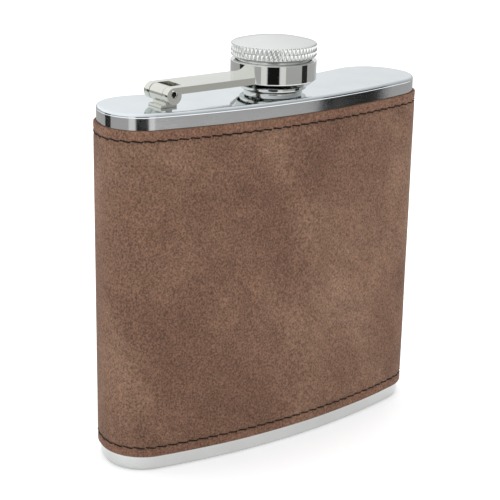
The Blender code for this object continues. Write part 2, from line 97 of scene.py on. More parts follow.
class Nodes:
    """A short way to wire the nodes of one material."""

    def __init__(self, name: str) -> None:
        """Starts a material with a Principled shader.

        Args:
            name: The material's name.
        """
        self.material = bpy.data.materials.new(name)
        self.material.use_nodes = True
        self.tree = self.material.node_tree
        self.shader = self.tree.nodes["Principled BSDF"]

    def add(self, kind: str, **values: object) -> bpy.types.Node:
        """Adds a node and sets its properties.

        Args:
            kind: The node's type name.
            **values: Its properties by name.

        Returns:
            The new node.
        """
        node = self.tree.nodes.new(kind)
        for name, value in values.items():
            setattr(node, name, value)
        return node

    def link(self, source: bpy.types.NodeSocket, target: bpy.types.NodeSocket) -> None:
        """Links one socket to another."""
        self.tree.links.new(source, target)

    def place(
        self,
        stretch: Sequence[float] = (1.0, 1.0, 1.0),
        slope: float = 0.0,
        shift: Sequence[float] = (0.0, 0.0, 0.0),
    ) -> bpy.types.NodeSocket:
        """Where a point lies on the object, turned about Y and then stretched along each axis.

        Args:
            stretch: The scale of each coordinate.
            slope: How far it is turned, in degrees.
            shift: What is added to it at the end.

        Returns:
            A vector socket, in metres.
        """
        where = self.add("ShaderNodeTexCoord").outputs["Object"]
        turned = self.add("ShaderNodeMapping")
        turned.inputs["Rotation"].default_value = (0.0, radians(slope), 0.0)
        self.link(where, turned.inputs["Vector"])
        mapping = self.add("ShaderNodeMapping")
        mapping.inputs["Scale"].default_value = stretch
        mapping.inputs["Location"].default_value = shift
        self.link(turned.outputs["Vector"], mapping.inputs["Vector"])
        return mapping.outputs["Vector"]

    def noise(
        self,
        size_mm: float,
        detail: float,
        place: bpy.types.NodeSocket,
        roughness: float = 0.5,
        bend: float = 0.0,
    ) -> bpy.types.NodeSocket:
        """Noise whose features are about a given size.

        Args:
            size_mm: The size of a feature in millimetres.
            detail: How many finer octaves it has.
            place: The vector that it reads.
            roughness: The strength of its finer octaves.
            bend: How far it is warped.

        Returns:
            Its value, from 0 to 1.
        """
        node = self.add("ShaderNodeTexNoise")
        node.inputs["Scale"].default_value = 1.0 / (size_mm * MM)
        node.inputs["Detail"].default_value = detail
        node.inputs["Roughness"].default_value = roughness
        node.inputs["Distortion"].default_value = bend
        self.link(place, node.inputs["Vector"])
        return node.outputs["Fac"]

    def ramp(
        self, value: bpy.types.NodeSocket, stops: Sequence[tuple[float, Colour]]
    ) -> bpy.types.NodeSocket:
        """A colour that depends on a value.

        Args:
            value: The socket that it reads.
            stops: Positions and colours, in rising order.

        Returns:
            The colour socket.
        """
        node = self.add("ShaderNodeValToRGB")
        elements = node.color_ramp.elements
        while len(elements) < len(stops):
            elements.new(0.5)
        for element, (position, colour) in zip(elements, stops):
            element.position = position
            element.color = (*colour, 1.0)
        self.link(value, node.inputs["Fac"])
        return node.outputs["Color"]

    def span(
        self, value: bpy.types.NodeSocket, source: Point2, target: Point2
    ) -> bpy.types.NodeSocket:
        """A value moved from one range to another, and kept inside it.

        Args:
            value: The socket that it reads.
            source: The range that it comes from.
            target: The range that it goes to.

        Returns:
            The new value.
        """
        node = self.add("ShaderNodeMapRange")
        node.inputs["From Min"].default_value, node.inputs["From Max"].default_value = source
        node.inputs["To Min"].default_value, node.inputs["To Max"].default_value = target
        self.link(value, node.inputs["Value"])
        return node.outputs["Result"]

    def mix(
        self, share: bpy.types.NodeSocket, first: bpy.types.NodeSocket, second: Colour, way: str = "MIX"
    ) -> bpy.types.NodeSocket:
        """A colour mixed into another.

        Args:
            share: How much of the second colour shows.
            first: The colour below.
            second: The colour on top.
            way: Blender's name for how they mix.

        Returns:
            The mixed colour.
        """
        node = self.add("ShaderNodeMix", data_type="RGBA", blend_type=way)
        self.link(share, node.inputs["Factor"])
        self.link(first, node.inputs["A"])
        node.inputs["B"].default_value = (*second, 1.0)
        return node.outputs["Result"]

    def shade(self, colour: bpy.types.NodeSocket, brightness: bpy.types.NodeSocket) -> bpy.types.NodeSocket:
        """A colour made lighter or darker.

        Args:
            colour: The colour.
            brightness: What it is multiplied by.

        Returns:
            The new colour.
        """
        node = self.add("ShaderNodeHueSaturation")
        self.link(colour, node.inputs["Color"])
        self.link(brightness, node.inputs["Value"])
        return node.outputs["Color"]

    def bump(
        self, height: bpy.types.NodeSocket, depth_mm: float, below: bpy.types.NodeSocket | None = None
    ) -> bpy.types.NodeSocket:
        """Small relief.

        Args:
            height: The socket that gives the height, from 0 to 1.
            depth_mm: The full height in millimetres.
            below: A normal that this relief is added to.

        Returns:
            The new normal.
        """
        node = self.add("ShaderNodeBump")
        node.inputs["Distance"].default_value = depth_mm * MM
        self.link(height, node.inputs["Height"])
        if below is not None:
            self.link(below, node.inputs["Normal"])
        return node.outputs["Normal"]


@dataclass(frozen=True)
class MetalFinish:
    """A metal surface with fine brushing and faint smudges."""

    name: str
    slot: Slot
    colour: Colour
    roughness: float
    roughness_spread: float = 0.04
    brush: Brush = Brush.NONE
    brush_depth_mm: float = 0.0
    smudge_size_mm: float = 9.0

    def make(self) -> bpy.types.Material:
        """Builds the material.

        Returns:
            The material.
        """
        nodes = Nodes(self.name)
        nodes.shader.inputs["Metallic"].default_value = 1.0
        smudge = nodes.noise(self.smudge_size_mm, 4.0, nodes.place())
        tint = tuple(0.94 * share for share in self.colour)
        colour = nodes.ramp(smudge, [(0.35, self.colour), (0.7, tint)])
        nodes.link(colour, nodes.shader.inputs["Base Color"])
        low, high = self.roughness, self.roughness + self.roughness_spread
        nodes.link(nodes.span(smudge, (0.35, 0.7), (low, high)), nodes.shader.inputs["Roughness"])
        if self.brush_depth_mm:
            lines = nodes.noise(0.12, 3.0, nodes.place(self.brush.value), 0.7)
            nodes.link(nodes.bump(lines, self.brush_depth_mm), nodes.shader.inputs["Normal"])
        return nodes.material


@dataclass(frozen=True)
class LeatherFinish:
    """Brown nubuck-like leatherette: cloudy patches, a swept nap and a fine grain."""

    bottom: float
    top: float
    margin: float
    name: str = "brown_leather"
    slot: Slot = Slot.LEATHER
    dark: Colour = (0.140, 0.075, 0.050)
    middle: Colour = (0.178, 0.098, 0.064)
    light: Colour = (0.236, 0.138, 0.092)
    edge: Colour = (0.205, 0.098, 0.064)
    nap: Colour = (0.95, 0.72, 0.58)

    def make(self) -> bpy.types.Material:
        """Builds the material.

        Returns:
            The material.
        """
        nodes = Nodes(self.name)
        cloud = nodes.noise(24.0, 4.0, nodes.place((1.0, 1.0, 0.62), 42.0), 0.55, 0.5)
        colour = nodes.ramp(cloud, [(0.30, self.dark), (0.5, self.middle), (0.70, self.light)])
        patch = nodes.noise(7.0, 4.0, nodes.place((1.0, 1.0, 0.6), 38.0, (3.0, 1.0, 2.0)), 0.6, 0.6)
        colour = nodes.shade(colour, nodes.span(patch, (0.3, 0.7), (0.88, 1.12)))
        colour = nodes.mix(self.edge_strip(nodes), colour, self.edge)
        sweep = nodes.noise(0.8, 3.0, nodes.place((1.0, 1.0, 0.34), 55.0), 0.6)
        colour = nodes.shade(colour, nodes.span(sweep, (0.3, 0.7), (0.92, 1.08)))
        grain = nodes.noise(0.45, 2.0, nodes.place((1.0, 1.0, 0.85)), 0.7)
        colour = nodes.shade(colour, nodes.span(grain, (0.34, 0.66), (0.55, 1.45)))
        nodes.link(colour, nodes.shader.inputs["Base Color"])
        nodes.link(nodes.span(grain, (0.3, 0.7), (0.88, 0.72)), nodes.shader.inputs["Roughness"])
        nodes.shader.inputs["Specular IOR Level"].default_value = 0.16
        nodes.shader.inputs["Sheen Weight"].default_value = 0.1
        nodes.shader.inputs["Sheen Roughness"].default_value = 0.4
        nodes.shader.inputs["Sheen Tint"].default_value = (*self.nap, 1.0)
        relief = nodes.bump(sweep, 0.12)
        relief = nodes.bump(grain, 0.3, relief)
        nodes.link(relief, nodes.shader.inputs["Normal"])
        return nodes.material

    def edge_strip(self, nodes: Nodes) -> bpy.types.NodeSocket:
        """How much of a point is in the strips between the stitches and the cut edges.

        Args:
            nodes: The material's nodes.

        Returns:
            The share, from none to less than half.
        """
        split = nodes.add("ShaderNodeSeparateXYZ")
        nodes.link(nodes.place(), split.inputs["Vector"])
        from_middle = nodes.add("ShaderNodeMath", operation="SUBTRACT")
        from_middle.inputs[1].default_value = (self.bottom + self.top) / 2
        nodes.link(split.outputs["Z"], from_middle.inputs[0])
        away = nodes.add("ShaderNodeMath", operation="ABSOLUTE")
        nodes.link(from_middle.outputs["Value"], away.inputs[0])
        row = (self.top - self.bottom) / 2 - self.margin
        return nodes.span(away.outputs["Value"], (row - 0.4 * MM, row + 0.4 * MM), (0.0, 0.3))


@dataclass(frozen=True)
class ThreadFinish:
    """Waxed sewing thread, nearly black."""

    name: str = "black_thread"
    slot: Slot = Slot.BLACK_THREAD
    dark: Colour = (0.008, 0.005, 0.004)
    worn: Colour = (0.024, 0.014, 0.011)

    def make(self) -> bpy.types.Material:
        """Builds the material.

        Returns:
            The material.
        """
        nodes = Nodes(self.name)
        fibre = nodes.noise(0.12, 3.0, nodes.place(), 0.6)
        colour = nodes.ramp(fibre, [(0.4, self.dark), (0.75, self.worn)])
        nodes.link(colour, nodes.shader.inputs["Base Color"])
        nodes.shader.inputs["Roughness"].default_value = 0.7
        nodes.shader.inputs["Specular IOR Level"].default_value = 0.2
        nodes.link(nodes.bump(fibre, 0.03), nodes.shader.inputs["Normal"])
        return nodes.material


@dataclass(frozen=True)
class SiliconeFinish:
    """Milky silicone."""

    name: str = "silicone"
    slot: Slot = Slot.SILICONE
    colour: Colour = (0.84, 0.84, 0.81)

    def make(self) -> bpy.types.Material:
        """Builds the material.

        Returns:
            The material.
        """
        nodes = Nodes(self.name)
        haze = nodes.noise(1.5, 2.0, nodes.place())
        shade = tuple(0.9 * share for share in self.colour)
        nodes.link(nodes.ramp(haze, [(0.3, shade), (0.7, self.colour)]), nodes.shader.inputs["Base Color"])
        nodes.shader.inputs["Roughness"].default_value = 0.45
        nodes.shader.inputs["Subsurface Weight"].default_value = 0.1
        nodes.shader.inputs["Subsurface Radius"].default_value = (0.002, 0.002, 0.002)
        return nodes.material


Finish = MetalFinish | LeatherFinish | ThreadFinish | SiliconeFinish

BAND_STEEL = MetalFinish("band_steel", Slot.SATIN_STEEL, (0.61, 0.62, 0.61), 0.09, 0.06, Brush.LEVEL, 0.003)
BASE_STEEL = MetalFinish("base_steel", Slot.SATIN_STEEL, (0.62, 0.62, 0.60), 0.13, 0.06, Brush.LEVEL, 0.003)
TOP_STEEL = MetalFinish("mirror_steel", Slot.POLISHED_STEEL, (0.72, 0.76, 0.78), 0.05, 0.05)
NECK_STEEL = MetalFinish("neck_steel", Slot.POLISHED_STEEL, (0.62, 0.63, 0.61), 0.07)
NICKEL = MetalFinish("nickel_plate", Slot.CHROME, (0.66, 0.66, 0.60), 0.09, 0.05)
CHROME = MetalFinish("bright_chrome", Slot.CHROME, (0.68, 0.69, 0.66), 0.04, 0.03)
PIN_STEEL = MetalFinish("pin_steel", Slot.CHROME, (0.58, 0.58, 0.54), 0.15)
CAP_STEEL = MetalFinish("satin_cap", Slot.SATIN_STEEL, (0.74, 0.75, 0.73), 0.22, 0.05)


# ---------------------------------------------------------------- mesh tools


def finish_mesh(
    bm: bmesh.types.BMesh,
    name: str,
    finish: Finish,
    body: Body,
    replaced: Sequence[str],
    smooth: float = 35.0,
) -> bpy.types.Object:
    """Makes a dressed piece of a bmesh and ties it to its body.

    Args:
        bm: The mesh, which is freed.
        name: The piece's name.
        finish: Its finish.
        body: The body that it moves with.
        replaced: The plain nodes that it stands for.
        smooth: The angle, in degrees, up to which an edge looks round.

    Returns:
        The piece.
    """
    bmesh.ops.recalc_face_normals(bm, faces=bm.faces)
    mesh = bpy.data.meshes.new(name)
    bm.to_mesh(mesh)
    bm.free()
    mesh.shade_smooth()
    mesh.set_sharp_from_angle(angle=radians(smooth))
    mesh.materials.append(finish.make())
    piece = bpy.data.objects.new(name, mesh)
    bpy.context.collection.objects.link(piece)
    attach(piece, body.value)
    if replaced:
        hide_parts(*replaced)
    LOG.info("%s: %d faces on %s", name, len(mesh.polygons), body.value)
    return piece


def skin(
    bm: bmesh.types.BMesh, rows: Sequence[Sequence[Vector]], closed_rows: bool, closed_columns: bool
) -> None:
    """Adds a grid of quads through rows of points.

    Args:
        bm: The mesh that gets them.
        rows: The rows, each with the same number of points.
        closed_rows: Whether each row joins up with its own start.
        closed_columns: Whether the last row joins up with the first.
    """
    made = [[bm.verts.new(point) for point in row] for row in rows]
    following = made[1:] + made[:1] if closed_columns else made[1:]
    for row, other in zip(made, following):
        count = len(row) if closed_rows else len(row) - 1
        for i in range(count):
            j = (i + 1) % len(row)
            bm.faces.new((row[i], row[j], other[j], other[i]))


def lid(bm: bmesh.types.BMesh, loop: Sequence[Vector]) -> None:
    """Closes a loop of points with one flat face.

    Args:
        bm: The mesh, which is welded afterwards.
        loop: The points, where the mesh already has vertices.
    """
    bm.faces.new([bm.verts.new(point) for point in loop])


def weld(bm: bmesh.types.BMesh) -> None:
    """Joins the vertices that lie on each other."""
    bmesh.ops.remove_doubles(bm, verts=bm.verts, dist=1e-6)


def bell(away: float) -> float:
    """A smooth hump, 1 in the middle and nearly nothing past 2 on either side."""
    return BELL_BASE ** (-(away**2))


def corner(centre: Point2, radius: float, start: float, end: float, steps: int) -> list[Point2]:
    """Points round a corner.

    Args:
        centre: The arc's centre.
        radius: Its radius.
        start: Where it starts, in degrees.
        end: Where it ends, in degrees.
        steps: How many steps it has.

    Returns:
        The points, both ends included.
    """
    angles = [radians(start + (end - start) * i / steps) for i in range(steps + 1)]
    return [(centre[0] + radius * cos(a), centre[1] + radius * sin(a)) for a in angles]


def turn(profile: Sequence[Point2], steps: int, lift: float = 0.0) -> bmesh.types.BMesh:
    """A piece turned about Z.

    Args:
        profile: Its outline as (radius, height). It is a loop unless it starts and ends on the axis.
        steps: How many facets it has round it.
        lift: A height added to every point.

    Returns:
        The mesh.
    """
    bm = bmesh.new()
    rows = [
        [Vector((r * cos(2 * pi * i / steps), r * sin(2 * pi * i / steps), z + lift)) for i in range(steps)]
        for r, z in profile
    ]
    skin(bm, rows, closed_rows=True, closed_columns=profile[0][0] > 0)
    weld(bm)
    bmesh.ops.dissolve_degenerate(bm, edges=bm.edges, dist=1e-9)
    return bm


def rounded_profile(points: Sequence[Point2], radius: float, steps: int = 3) -> list[Point2]:
    """Rounds the corners of a closed profile, with a narrow step beside each that keeps its flats flat.

    Args:
        points: The corners. One on the axis stays as it is.
        radius: The largest radius of a rounded corner.
        steps: How many steps each rounded corner has.

    Returns:
        The new profile.
    """
    out: list[Point2] = []
    count = len(points)
    for i, here in enumerate(points):
        if here[0] < 1e-9:
            out.append(here)
            continue
        before, after = Vector(points[i - 1]), Vector(points[(i + 1) % count])
        spot = Vector(here)
        to_before, to_after = before - spot, after - spot
        reach = min(radius, 0.42 * to_before.length, 0.42 * to_after.length)
        first = spot + to_before.normalized() * reach
        last = spot + to_after.normalized() * reach
        held = 1.15 * reach
        out.append((*(spot + to_before.normalized() * held),))
        for k in range(steps + 1):
            t = k / steps
            point = first * (1 - t) ** 2 + spot * 2 * t * (1 - t) + last * t**2
            out.append((point.x, point.y))
        out.append((*(spot + to_after.normalized() * held),))
    return out


# ---------------------------------------------------------------- the curved body


@dataclass(frozen=True)
class Arc:
    """A round stretch of a level outline."""

    centre: Vector
    radius: float
    start: float
    end: float
    hollow: bool = False

    @property
    def length(self) -> float:
        """How long the stretch is."""
        return abs(self.end - self.start) * self.radius

    def at(self, share: float) -> tuple[Vector, Vector]:
        """A point along the stretch and its outward direction."""
        angle = self.start + (self.end - self.start) * share
        away = Vector((cos(angle), sin(angle), 0.0))
        return self.centre + away * self.radius, -away if self.hollow else away


@dataclass(frozen=True)
class Straight:
    """A straight stretch of a level outline."""

    first: Vector
    last: Vector
    out: Vector

    @property
    def length(self) -> float:
        """How long the stretch is."""
        return (self.last - self.first).length

    def at(self, share: float) -> tuple[Vector, Vector]:
        """A point along the stretch and its outward direction."""
        return self.first.lerp(self.last, share), self.out


@dataclass
class HipSection:
    """The flask's level section: two arcs about one centre behind it, and a round end on each side."""

    half_width: float
    depth: float = 22.5 * MM
    bend: float = 163.0 * MM
    end_flat: float = 0.75 * MM
    count: int = 720
    points: list[tuple[Vector, Vector]] = field(default_factory=list)
    length: float = 0.0

    def __post_init__(self) -> None:
        """Lays points with their outward directions evenly round the section."""
        stretches = self.stretches()
        self.length = sum(stretch.length for stretch in stretches)
        ends = np.cumsum([stretch.length for stretch in stretches])
        for index in range(self.count):
            walked = self.length * index / self.count
            which = int(np.searchsorted(ends, walked, side="right"))
            stretch = stretches[which]
            into = walked - (ends[which] - stretch.length)
            self.points.append(stretch.at(into / stretch.length))

    def stretches(self) -> list[Arc | Straight]:
        """The stretches from the middle of the back, round by +X to the front, and back round by -X.

        Returns:
            The stretches in order.
        """
        end = self.depth / 2 - self.end_flat
        front, back = self.bend + self.depth / 2, self.bend - self.depth / 2
        half = asin((self.half_width - end) / (front - end))
        middle = Vector((0.0, self.bend, 0.0))

        def on_bend(radius: float, side: int) -> Vector:
            """The end of an arc about the bend's middle, on one side."""
            return Vector((side * radius * sin(half), self.bend - radius * cos(half), 0.0))

        right, left = Vector((cos(half), sin(half), 0.0)), Vector((-cos(half), sin(half), 0.0))
        back_right, front_right = on_bend(back + end, 1), on_bend(front - end, 1)
        back_left, front_left = on_bend(back + end, -1), on_bend(front - end, -1)
        return [
            Arc(middle, back, -pi / 2, half - pi / 2, hollow=True),
            Arc(back_right, end, half + pi / 2, half),
            Straight(back_right + right * end, front_right + right * end, right),
            Arc(front_right, end, half, half - pi / 2),
            Arc(middle, front, half - pi / 2, -half - pi / 2),
            Arc(front_left, end, -half - pi / 2, -half - pi),
            Straight(front_left + left * end, back_left + left * end, left),
            Arc(back_left, end, pi - half, pi / 2 - half),
            Arc(middle, back, -half - pi / 2, -pi / 2, hollow=True),
        ]

    def at(self, distance: float) -> tuple[Vector, Vector]:
        """A point round the section and its outward direction.

        Args:
            distance: How far round, from the middle of the back.

        Returns:
            The point and the direction.
        """
        place = distance / self.length * self.count
        low = floor(place)
        here, out = self.points[low % self.count]
        there, next_out = self.points[(low + 1) % self.count]
        return here.lerp(there, place - low), out.lerp(next_out, place - low).normalized()

    def loop(self, offset: float, height: float) -> list[Vector]:
        """The whole section at an offset and a height.

        Args:
            offset: How far outwards.
            height: The height.

        Returns:
            The points.
        """
        return [point + out * offset + Vector((0.0, 0.0, height)) for point, out in self.points]


@dataclass
class SteelBottle:
    """The welded steel bottle: a wrapped wall between a base and a top."""

    section: HipSection
    height: float
    wall: float = 0.6 * MM
    plate: float = 1.0 * MM
    top_edge: float = 0.75 * MM
    base_edge: float = 0.6 * MM
    base_inset: float = 0.25 * MM
    weld_depth: float = 0.03 * MM
    weld_width: float = 0.12 * MM
    neck_hole: float = 6.2 * MM
    hold: float = 0.05 * MM
    edge_steps: int = 8

    def build(self) -> None:
        """Builds the wall, the base and the top."""
        self.build_wall()
        self.build_base()
        self.build_top()

    def build_wall(self) -> None:
        """The wall, with a shallow weld line along each end."""
        low, high = self.plate, self.height - self.plate
        levels = [
            (-self.weld_depth, low),
            (0.0, low + self.weld_width),
            (0.0, low + self.weld_width + self.hold),
            (0.0, high - self.weld_width - self.hold),
            (0.0, high - self.weld_width),
            (-self.weld_depth, high),
            (-self.wall, high),
            (-self.wall, low),
        ]
        bm = bmesh.new()
        skin(bm, [self.section.loop(offset, z) for offset, z in levels], True, True)
        finish_mesh(bm, "steel_wall", BAND_STEEL, Body.FLASK, ["body_shell"])

    def build_base(self) -> None:
        """The base plate, its lower edge rounded."""
        radius, inset = self.base_edge, self.base_inset
        levels = [(-radius - inset - self.hold, 0.0)]
        levels += corner((-radius - inset, radius), radius, -90, 0, self.edge_steps)
        levels += [(-inset, self.plate - self.weld_width), (-self.weld_depth, self.plate)]
        bm = bmesh.new()
        rows = [self.section.loop(offset, z) for offset, z in levels]
        skin(bm, rows, True, False)
        lid(bm, rows[0])
        lid(bm, rows[-1])
        weld(bm)
        finish_mesh(bm, "steel_base", BASE_STEEL, Body.FLASK, ["base_plate"])

    def build_top(self) -> None:
        """The top plate, its upper edge rounded, with the hole for the neck."""
        radius = self.top_edge
        low = self.height - self.plate
        levels = [(-self.weld_depth, low), (0.0, low + self.weld_width)]
        levels += corner((-radius, self.height - radius), radius, 0, 90, self.edge_steps)
        levels.append((-radius - self.hold, self.height))
        rows = [self.section.loop(offset, z) for offset, z in levels]
        ring = []
        for point in rows[-1]:
            flat = Vector((point.x, point.y, 0.0)).normalized() * self.neck_hole
            ring.append(flat)
        rows.append([point + Vector((0.0, 0.0, self.height)) for point in ring])
        rows.append([point + Vector((0.0, 0.0, self.height - self.plate)) for point in ring])
        bm = bmesh.new()
        skin(bm, rows, True, True)
        finish_mesh(bm, "steel_top", TOP_STEEL, Body.FLASK, ["top_plate"], 30.0)


@dataclass
class LeatherJacket:
    """The leatherette wrap and its two rows of stitches."""

    section: HipSection
    bottom: float
    top: float
    inside: float = 0.1 * MM
    outside: float = 0.72 * MM
    edge: float = 0.22 * MM
    margin: float = 2.5 * MM
    pitch: float = 2.85 * MM
    pull: float = 0.17 * MM
    pull_width: float = 0.7 * MM
    hole: float = 0.18 * MM
    slant: float = 0.13 * MM
    thread: float = 0.2 * MM
    rise: float = 0.06 * MM
    dip: float = 0.32 * MM
    dip_share: float = 0.11
    jump: float = 0.24
    seam: float = 0.35 * MM
    seam_edge: float = 0.5 * MM
    columns: int = 1080
    ripple: float = 0.03 * MM
    ripple_round: float = 260.0
    ripple_up: float = 190.0
    coarse: float = 2.4 * MM
    fine: float = 0.14 * MM
    stitch_steps: int = 20
    stitch_sides: int = 8
    ply_depth: float = 0.12
    ply_turns: float = 1.6

    def build(self) -> None:
        """Builds the leather and both rows of thread."""
        self.build_leather()
        self.build_stitches("lower_stitches", self.bottom + self.margin, "lower_stitching")
        self.build_stitches("upper_stitches", self.top - self.margin, "upper_stitching")

    @property
    def stitch_count(self) -> int:
        """How many stitches go round one row."""
        return round((self.section.length - self.seam) / self.pitch)

    def sink(self, distance: float, z: float) -> float:
        """How far the stitches pull the leather in at a point.

        Args:
            distance: How far round the section.
            z: The height.

        Returns:
            The depth.
        """
        depth = 0.0
        phase = 2 * pi * (distance - self.seam / 2) / (self.section.length - self.seam) * self.stitch_count
        for line in (self.bottom + self.margin, self.top - self.margin):
            away = (z - line) / self.pull_width
            if abs(away) < 4.0:
                near_hole = 0.5 + 0.5 * cos(phase)
                depth += (self.pull + self.hole * near_hole**3) * bell(away)
        return depth

    def soften(self, z: float) -> float:
        """How far the cut edges are rounded off at a height."""
        room = min(z - self.bottom, self.top - z)
        if room >= self.edge:
            return 0.0
        return self.edge - (self.edge**2 - (self.edge - room) ** 2) ** 0.5

    def heights(self) -> list[float]:
        """The levels of the leather's mesh, closer together by the edges and the stitches.

        Returns:
            The heights, rising.
        """
        lower = list(np.linspace(0.0, self.edge, 6))
        lower += list(np.arange(self.edge, self.margin + 3 * self.pull_width, self.fine))[1:]
        bottom = [self.bottom + rise for rise in lower]
        top = [self.top - rise for rise in reversed(lower)]
        steps = round((top[0] - bottom[-1]) / self.coarse)
        return bottom + list(np.linspace(bottom[-1], top[0], steps + 1))[1:-1] + top

    def build_leather(self) -> None:
        """The leather, its two ends butted at the middle of the back."""
        heights = self.heights()
        length = self.section.length
        bm = bmesh.new()
        rows = []
        for column in range(self.columns + 1):
            distance = self.seam / 2 + (length - self.seam) * column / self.columns
            point, out = self.section.at(distance)
            to_end = min(distance, length - distance) - self.seam / 2
            tuck = self.edge * max(0.0, 1 - to_end / self.seam_edge) ** 2
            row = []
            for z in heights:
                wave = self.ripple * sin(distance * self.ripple_round) * sin(z * self.ripple_up + 1.0)
                offset = self.outside - self.sink(distance, z) - self.soften(z) - tuck + wave
                row.append(point + out * offset + Vector((0.0, 0.0, z)))
            row += [point + out * self.inside + Vector((0.0, 0.0, z)) for z in (self.top, self.bottom)]
            rows.append(row)
        skin(bm, rows, closed_rows=True, closed_columns=False)
        lid(bm, rows[0])
        lid(bm, rows[-1])
        weld(bm)
        finish = LeatherFinish(self.bottom, self.top, self.margin)
        finish_mesh(bm, "leather_jacket", finish, Body.FLASK, ["leather_wrap"], 60.0)

    def build_stitches(self, name: str, line: float, replaced: str) -> None:
        """One row of two-ply thread.

        Args:
            name: The row's name.
            line: The row's height.
            replaced: The plain node that it stands for.
        """
        length = self.section.length - self.seam
        count = self.stitch_count * self.stitch_steps
        rows = [self.thread_ring(length * index / count, line) for index in range(count + 1)]
        bm = bmesh.new()
        skin(bm, rows, closed_rows=True, closed_columns=False)
        lid(bm, rows[0])
        lid(bm, rows[-1])
        weld(bm)
        finish_mesh(bm, name, ThreadFinish(), Body.FLASK, [replaced], 80.0)

    def thread_ring(self, walked: float, line: float) -> list[Vector]:
        """The thread's outline at one place: it slants along a stitch and steps back at a hole.

        Args:
            walked: How far along the row.
            line: The row's height.

        Returns:
            The points round the thread.
        """
        stitches = walked / (self.section.length - self.seam) * self.stitch_count
        share = stitches % 1.0
        past_hole = share if share < 0.5 else share - 1.0
        if abs(past_hole) < self.jump / 2:
            slant = cos(pi * (past_hole + self.jump / 2) / self.jump)
        else:
            slant = -cos(pi * (share - self.jump / 2) / (1 - self.jump))
        in_hole = bell(past_hole / self.dip_share)
        offset = self.outside - self.pull + self.rise - (self.rise + self.dip) * in_hole
        point, out = self.section.at(self.seam / 2 + walked)
        centre = point + out * offset + Vector((0.0, 0.0, line + self.slant * slant))
        ring = []
        for i in range(self.stitch_sides):
            angle = 2 * pi * i / self.stitch_sides
            ply = 1 - self.ply_depth * (0.5 - 0.5 * cos(2 * (angle - 2 * pi * self.ply_turns * stitches)))
            radius = self.thread * ply
            ring.append(centre + out * radius * 0.8 * cos(angle) + Vector((0.0, 0.0, radius * sin(angle))))
        return ring


# ---------------------------------------------------------------- the neck and the cap


@dataclass
class Screw:
    """A round screw thread, which runs out at both ends."""

    lead: float = 1.5 * MM
    depth: float = 0.45 * MM
    rows_per_turn: int = 16

    def wall(self, radius: float, bottom: float, top: float) -> list[Point2]:
        """Profile points up a threaded wall.

        Args:
            radius: The wall's radius.
            bottom: The thread's lower end.
            top: Its upper end.

        Returns:
            The points, as (radius, height).
        """
        count = round((top - bottom) / self.lead * self.rows_per_turn)
        return [(radius, bottom + (top - bottom) * i / count) for i in range(count + 1)]

    def roll(
        self, bm: bmesh.types.BMesh, radius: float, bottom: float, top: float, inward: bool = False
    ) -> None:
        """Raises the thread on the wall.

        Args:
            bm: The mesh, with its heights above the top plate.
            radius: The wall's radius.
            bottom: The thread's lower end.
            top: Its upper end.
            inward: Whether the thread points to the axis.
        """
        for vert in bm.verts:
            here = hypot(vert.co.x, vert.co.y)
            if abs(here - radius) > 1e-6 or not bottom <= vert.co.z <= top:
                continue
            ends = min(vert.co.z - bottom, top - vert.co.z) / (self.lead / 2)
            turns = vert.co.z / self.lead - atan2(vert.co.y, vert.co.x) / (2 * pi)
            ridge = min(1.0, ends) * (0.5 + 0.5 * cos(2 * pi * turns)) ** 0.7 * self.depth
            scale = (radius + (-ridge if inward else ridge)) / here
            vert.co.x *= scale
            vert.co.y *= scale


@dataclass
class Spout:
    """The threaded neck, which is swaged through the top plate."""

    floor: float
    bore: float = 5.0 * MM
    wall: float = 5.85 * MM
    height: float = 5.4 * MM
    boss: float = 7.45 * MM
    boss_height: float = 0.75 * MM
    lip: float = 6.7 * MM
    lip_top: float = -1.05 * MM
    lip_bottom: float = -1.95 * MM
    edge: float = 0.3 * MM
    thread_start: float = 0.2 * MM
    thread_end: float = 0.45 * MM
    screw: Screw = field(default_factory=Screw)
    steps: int = 128

    def build(self) -> None:
        """Builds the neck."""
        edge = self.edge
        bottom, top = self.boss_height + self.thread_start, self.height - self.thread_end
        shape = [
            (self.bore, self.lip_bottom),
            (self.lip, self.lip_bottom),
            (self.lip, self.lip_top),
            (self.wall, self.lip_top),
            (self.wall, 0.0),
            (self.boss, 0.0),
            *corner((self.boss - edge, self.boss_height - edge), edge, 0, 90, 5),
            (self.wall, self.boss_height),
            *self.screw.wall(self.wall, bottom, top),
            *corner((self.wall - edge, self.height - edge), edge, 0, 90, 4),
            *corner((self.bore + edge, self.height - edge), edge, 90, 180, 4),
        ]
        bm = turn(shape, self.steps)
        self.screw.roll(bm, self.wall, bottom, top)
        bmesh.ops.translate(bm, verts=bm.verts, vec=(0.0, 0.0, self.floor))
        finish_mesh(bm, "threaded_neck", NECK_STEEL, Body.FLASK, ["neck"])


